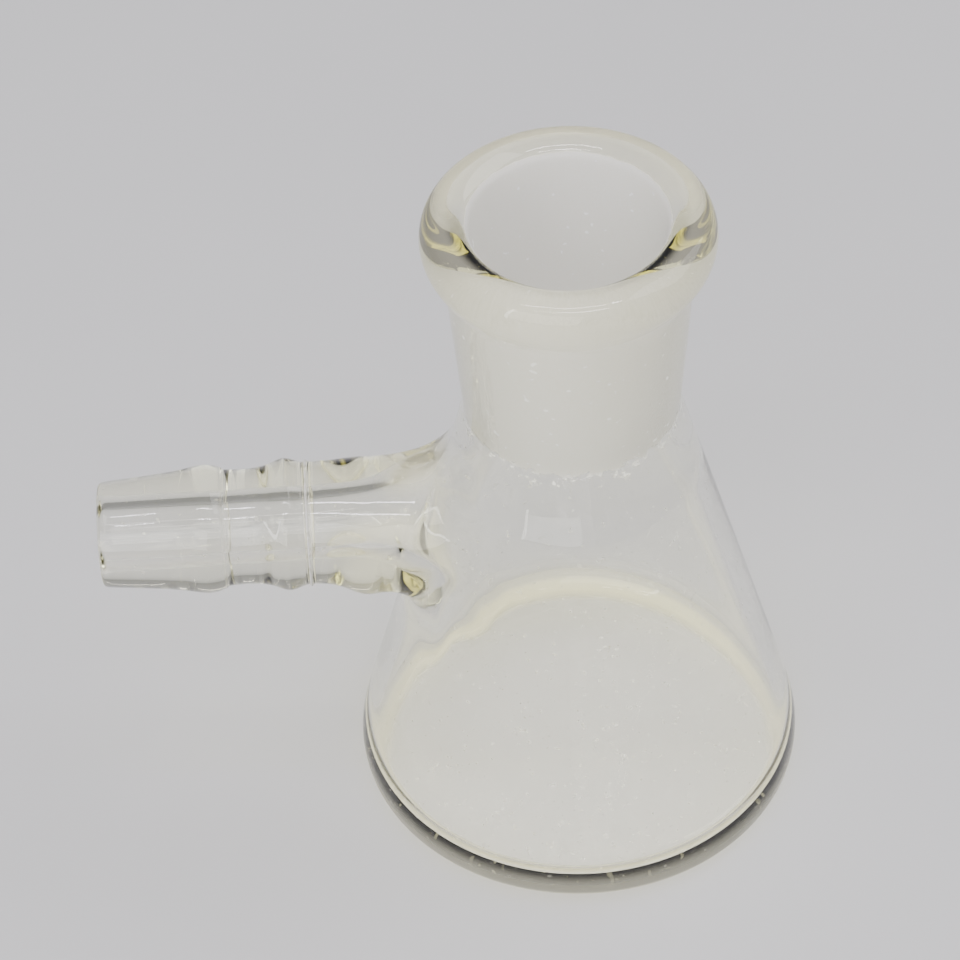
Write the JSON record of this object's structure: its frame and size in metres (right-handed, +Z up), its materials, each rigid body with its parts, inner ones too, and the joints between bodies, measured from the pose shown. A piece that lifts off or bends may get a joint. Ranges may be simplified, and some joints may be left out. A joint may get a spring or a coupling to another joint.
{
  "type": "side-arm filtering flask",
  "caption": "Small conical glass flask with a thick ground-glass socket neck and a barbed side arm for a vacuum or gas hose.",
  "frame": {"origin": "centre of the flask's standing ring, on the vessel's axis", "axes": "+Z up along the vessel's axis and out of the socket's mouth, -X along the side arm towards its tip, Y across the flask, which is its mirror direction"},
  "size_m": [0.0544, 0.0354, 0.0575],
  "materials": {
    "clear_glass": "fire-polished clear borosilicate-type glass, very slightly straw-coloured through long paths",
    "ground_glass": "thick clear glass with a fine ground, frosted bore"
  },
  "bodies": {
    "root": {"flask_body": "clear_glass", "ground_socket": "ground_glass", "side_arm_stub": "clear_glass", "side_arm_seal": "clear_glass", "hose_connection": "clear_glass"}
  },
  "joints": []
}
